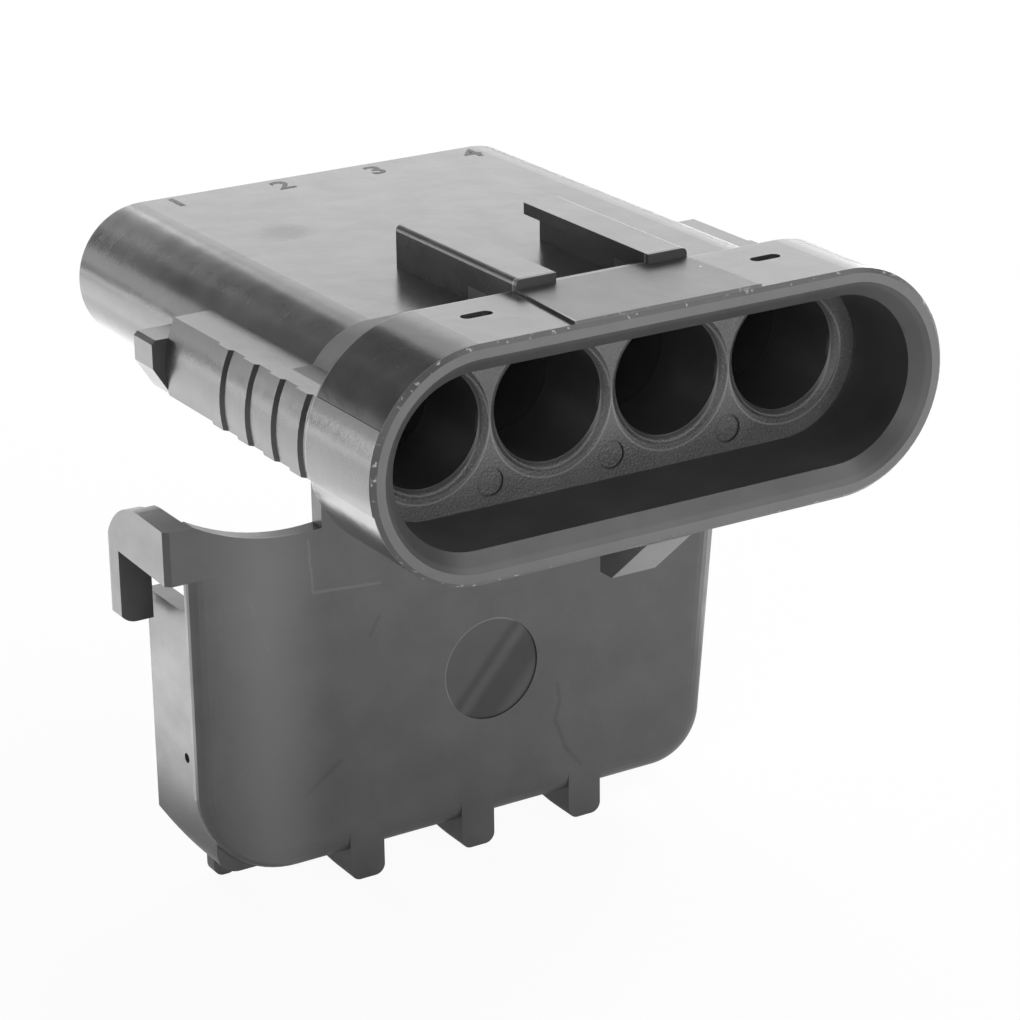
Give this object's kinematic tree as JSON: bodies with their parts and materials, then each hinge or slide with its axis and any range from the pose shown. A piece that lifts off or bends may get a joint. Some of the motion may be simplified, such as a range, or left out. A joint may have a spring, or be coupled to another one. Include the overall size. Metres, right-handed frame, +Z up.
{
  "type": "sealed automotive connector housing",
  "caption": "Black moulded socket half of a sealed in-line wire connector: race-track shroud round a row of round ways, top clip rails, and a strap-hinged rear lock cover with latch loops.",
  "frame": {"origin": "middle of the mating mouth, on the shroud's front rim", "axes": "+X along the row of ways, +Y from the mouth to the wires, +Z up towards the clip rails"},
  "size_m": [0.0436, 0.0433, 0.0441],
  "materials": {
    "black_plastic": "satin to gloss as moulded"
  },
  "bodies": {
    "housing": {"housing": "black_plastic", "hinge_strap": "black_plastic"},
    "cover": {"lock_cover": "black_plastic"}
  },
  "joints": [
    {"name": "cover_hinge", "type": "hinge", "parent": "housing", "child": "cover", "pos_m": [0, 0.02003, -0.00777], "axis": [1, 0, 0], "range_deg": [-30, 90], "stiffness_Nm_per_rad": 0.01, "deforming": ["hinge_strap"]}
  ]
}
